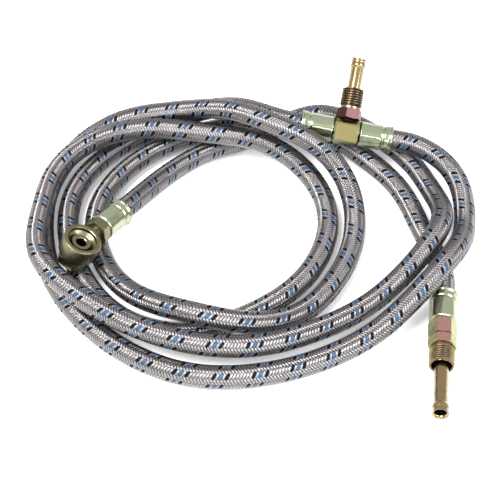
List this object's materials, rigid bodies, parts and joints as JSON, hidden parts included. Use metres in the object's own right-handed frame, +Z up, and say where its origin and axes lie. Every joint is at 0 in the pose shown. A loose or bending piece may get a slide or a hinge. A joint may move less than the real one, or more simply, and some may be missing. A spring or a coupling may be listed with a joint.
{
  "type": "braided fuel line",
  "caption": "Coiled steel-braided flexible fuel hose with crimped ends: a banjo union, a tee with a threaded stud, and a threaded stud with a beaded stub tube.",
  "frame": {"origin": "on the surface that the coil lies on, under the middle of the box round its rigid fittings, which leaves out the two hoses", "axes": "+Z up from the surface, -Y towards the viewer of the picture and along the end stud's stub tube, +X to the viewer's right"},
  "size_m": [0.265, 0.2391, 0.0581],
  "materials": {
    "braid": "woven wire, satin",
    "zinc_pale": "zinc plated, pale yellow-green passivation, satin",
    "zinc_olive": "zinc plated, olive-yellow passivation, satin",
    "zinc_pink": "zinc plated, pinkish iridescent passivation, satin",
    "zinc_gold": "zinc plated, golden passivation, bright",
    "copper": "soft copper, dull"
  },
  "bodies": {
    "root": {"hose_banjo_to_tee": "braid", "hose_tee_to_stud": "braid", "ferrule_banjo": "zinc_pale", "ferrule_tee_left": "zinc_pale", "ferrule_tee_right": "zinc_pale", "ferrule_stud": "zinc_pale", "tee_tail_left": "zinc_pale", "tee_tail_right": "zinc_pale", "tee_body": "zinc_olive", "banjo_eye": "zinc_olive", "banjo_bolt": "zinc_olive", "tee_stud": "zinc_pink", "stud_tail": "zinc_pink", "end_stud": "zinc_pink", "tee_stub_tube": "zinc_gold", "end_stub_tube": "zinc_gold", "banjo_washer": "copper"}
  },
  "joints": []
}
